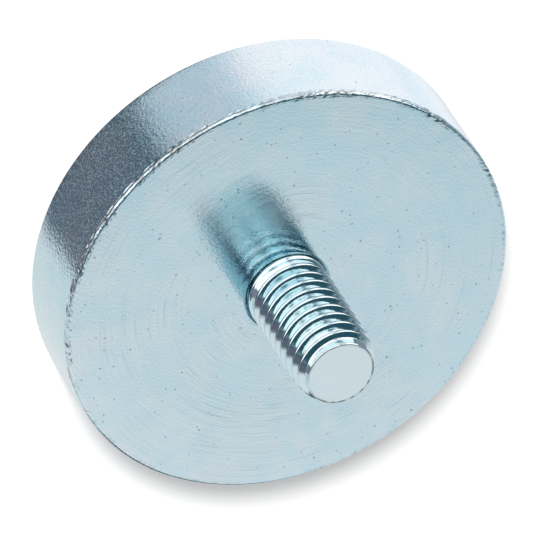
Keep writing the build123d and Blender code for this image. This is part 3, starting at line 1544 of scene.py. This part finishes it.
@dataclass(frozen=True)
class Studio:
    """Plain floor, soft lamp and the room that the metal mirrors.

    up and front are the directions of the room's own axes in the part's
    frame. table is the room's colour where no zone is, and a later zone lies
    over the earlier ones.
    """

    up: Vector3 = (0.438, 0.899, 0.0015)
    front: Vector3 = (-0.319, 0.154, 0.935)
    table: Colour = (1.06, 0.935, 0.93)
    zones: tuple[Zone, ...] = (
        Zone(190, -52, 50, 26, 12, 12, (0.78, 0.84, 0.88)),
        Zone(0, 90, 181, 107.5, 1, 2, (0.045, 0.10, 0.12)),
        Zone(-118, 4, 26, 21.5, 3, 2, (0.172, 0.166, 0.205)),
        Zone(-58, -8, 33, 11.5, 4, 2, (0.36, 0.305, 0.355)),
        Zone(10, 60, 82, 56, 6, 4, LAMP_WHITE),
        Zone(30, -10, 55, 39.5, 4, 3, DEEP_TEAL, Outline.OVAL),
        Zone(30, -60, 62, 40.5, 8, 2, (1.08, 0.955, 0.95)),
        Zone(15, -42, 22, 10, 8, 8, (1.32, 1.07, 1.03)),
        Zone(41, -20, 50, 13, 10, 6, (0.62, 0.66, 0.68)),
        Zone(30, -14, 52, 5.5, 6, 2, DEEP_TEAL),
        Zone(-13, -17, 11, 7, 5, 4, (0.17, 0.16, 0.19)),
        Zone(-34, -19, 9, 7, 4, 4, (0.12, 0.11, 0.135)),
        Zone(0, -90, 181, 21, 1, 5, (0.10, 0.13, 0.15)),
        Zone(0, 90, 181, 35, 8, 8, LAMP_WHITE),
        Zone(-76, 42, 20, 39, 6, 3, LAMP_WHITE),
        Zone(-28, 58, 16, 11, 5, 5, (0.62, 0.60, 0.62)),
        Zone(46, 38, 5, 15, 3, 4, PALE_GREY),
        Zone(58, 61, 10, 9, 5, 3, PALE_GREY),
        Zone(120, 0, 34, 19, 5, 3, (0.41, 0.405, 0.44)),
        Zone(122, 44, 28, 20, 5, 5, (2.2, 1.68, 1.57)),
        Zone(118, 63, 15, 7, 5, 4, (0.70, 0.73, 0.8)),
        Zone(133, 70.5, 24, 9, 12, 5, (0.16, 0.22, 0.30), Outline.OVAL),
        Zone(-158, 50, 30, 22, 4, 5, (0.80, 0.75, 0.80)),
        Zone(-146, -37, 26, 12, 8, 8, (0.95, 0.92, 0.90)),
        Zone(170, 14, 22, 33, 12, 16, (1.56, 1.26, 1.24)),
        Zone(162, -17, 18, 9, 8, 5, (1.2, 1.13, 1.16)),
    )
    fill: float = 0.25
    lamp_level: float = 1.0
    lamp_azimuth: float = 85.5
    lamp_elevation: float = 43.0
    lamp_spread: float = 10.0
    floor_size: float = 300.0
    floor_gap: float = 0.02
    floor_grey: float = 0.8
    floor_glow: float = 0.31

    def room(self, n: Nodes) -> bpy.types.NodeSocket:
        """Colour of the room in each direction.

        The direction's shares along the room's up, front and right give its
        elevation, the arc sine of the first, and its azimuth, the angle of
        the other two. Each zone's colour is mixed over the last by its mask.

        Args:
            n: Nodes of the world.

        Returns:
            The colour.
        """
        way = n.add("ShaderNodeTexCoord").outputs["Generated"]
        up = np.array(self.up) / np.linalg.norm(self.up)
        front = np.array(self.front) - up * float(np.dot(up, self.front))
        front /= np.linalg.norm(front)
        right = np.cross(up, front)
        upward, forward, sideways = (
            n.vector("DOT_PRODUCT", way, tuple(axis.tolist())) for axis in (up, front, right)
        )
        degrees = math.degrees(1.0)
        elevation = n.math("MULTIPLY", n.math("ARCSINE", upward), degrees)
        azimuth = n.math("MULTIPLY", n.math("ARCTAN2", sideways, forward), degrees)
        colour: object = self.table
        for zone in self.zones:
            colour = n.mixed(zone.mask(n, azimuth, elevation), colour, zone.colour)
        return colour

    def build_world(self) -> None:
        """Builds the world: white for the camera, the room for mirrors, a plain fill for the rest."""
        world = bpy.data.worlds.new("studio")
        bpy.context.scene.world = world
        world.use_nodes = True
        world.cycles.sampling_method = "NONE"
        world.node_tree.nodes.clear()
        n = Nodes(world.node_tree)
        rays = n.add("ShaderNodeLightPath").outputs
        white = n.math("MAXIMUM", rays["Is Camera Ray"], rays["Is Transmission Ray"])
        shown = n.mixed(rays["Is Glossy Ray"], (self.fill,) * 3, self.room(n))
        background = n.add("ShaderNodeBackground")
        n.feed(background.inputs["Color"], n.mixed(white, shown, (1.0, 1.0, 1.0)))
        out = n.add("ShaderNodeOutputWorld")
        n.feed(out.inputs["Surface"], background.outputs[0])

    def build_lamp(self) -> None:
        """Adds the soft lamp that lays the shadow, left out of mirror reflections."""
        data = bpy.data.lights.new("soft_lamp", "SUN")
        data.energy = self.lamp_level * math.pi
        data.angle = math.radians(self.lamp_spread)
        lamp = bpy.data.objects.new("soft_lamp", data)
        lamp.visible_glossy = False
        azimuth, elevation = math.radians(self.lamp_azimuth), math.radians(self.lamp_elevation)
        toward = (
            math.cos(elevation) * math.cos(azimuth),
            math.cos(elevation) * math.sin(azimuth),
            math.sin(elevation),
        )
        lamp.rotation_mode = "QUATERNION"
        lamp.rotation_quaternion = Vector(toward).to_track_quat("Z", "Y")
        bpy.context.scene.collection.objects.link(lamp)

    def floor_material(self) -> bpy.types.Material:
        """Makes the floor's material.

        It is matt, glows for the camera alone so that it shows white, and is
        clear from below.

        Returns:
            The material.
        """
        material = bpy.data.materials.new("floor_white")
        material.use_nodes = True
        material.node_tree.nodes.clear()
        n = Nodes(material.node_tree)
        matt = n.add("ShaderNodeBsdfDiffuse")
        n.feed(matt.inputs["Color"], (self.floor_grey,) * 3)
        glow = n.add("ShaderNodeEmission")
        seen = n.add("ShaderNodeLightPath").outputs["Is Camera Ray"]
        n.feed(glow.inputs["Strength"], n.math("MULTIPLY", seen, self.floor_glow))
        both = n.add("ShaderNodeAddShader")
        n.feed(both.inputs[0], matt.outputs[0])
        n.feed(both.inputs[1], glow.outputs[0])
        clear = n.add("ShaderNodeBsdfTransparent")
        sided = n.add("ShaderNodeMixShader")
        n.feed(sided.inputs[0], n.add("ShaderNodeNewGeometry").outputs["Backfacing"])
        n.feed(sided.inputs[1], both.outputs[0])
        n.feed(sided.inputs[2], clear.outputs[0])
        out = n.add("ShaderNodeOutputMaterial")
        n.feed(out.inputs["Surface"], sided.outputs[0])
        return material

    def build_floor(self) -> None:
        """Lays the square floor just under the part, where it keeps the shadow."""
        half, low = self.floor_size * MM, -self.floor_gap * MM
        mesh = bpy.data.meshes.new("floor")
        corners = [(-half, -half, low), (half, -half, low), (half, half, low), (-half, half, low)]
        mesh.from_pydata(corners, [], [(0, 1, 2, 3)])
        floor = bpy.data.objects.new("floor", mesh)
        floor.visible_glossy = False
        bpy.context.scene.collection.objects.link(floor)
        mesh.materials.append(self.floor_material())


@dataclass(frozen=True)
class Camera:
    """Where the picture is taken from, in the part's own frame.

    place, lens and sensor are in millimetres, near and far in metres.
    """

    place: Vector3 = (-0.27, 527.65, 615.30)
    right: Vector3 = (0.840, -0.410, 0.354)
    up: Vector3 = (0.542, 0.636, -0.549)
    lens: float = 791.3
    sensor: float = 36.0
    near: float = 0.01
    far: float = 10.0

    def build(self) -> None:
        """Sets the camera up and makes it the scene's own."""
        right = np.array(self.right) / np.linalg.norm(self.right)
        back = np.cross(right, np.array(self.up))
        back /= np.linalg.norm(back)
        up = np.cross(back, right)
        data = bpy.data.cameras.new("view")
        data.lens = self.lens
        data.sensor_width = self.sensor
        data.clip_start = self.near
        data.clip_end = self.far
        camera = bpy.data.objects.new("view", data)
        turn = Matrix(np.stack([right, up, back], axis=-1).tolist()).to_4x4()
        turn.translation = [value * MM for value in self.place]
        camera.matrix_world = turn
        bpy.context.scene.collection.objects.link(camera)
        bpy.context.scene.camera = camera


def main() -> None:
    """Builds the magnet piece by piece and reports each one."""
    bpy.context.scene.view_settings.view_transform = "Standard"
    Camera().build()
    studio = Studio()
    studio.build_world()
    studio.build_lamp()
    studio.build_floor()
    effects = Effects()
    made = (
        (Pot(), ZincPlate()),
        (Stud(), rolled_zinc()),
        (Magnet(), NickelPlate()),
        (Resin(), PottingResin()),
    )
    for maker, finish in made:
        piece = maker.build()
        finish.dress(piece, effects)
        LOG.info("%s: %d faces", piece.name, len(piece.data.polygons))


if __name__ == "__main__":
    logging.basicConfig(level=logging.INFO, format="%(message)s")
    main()
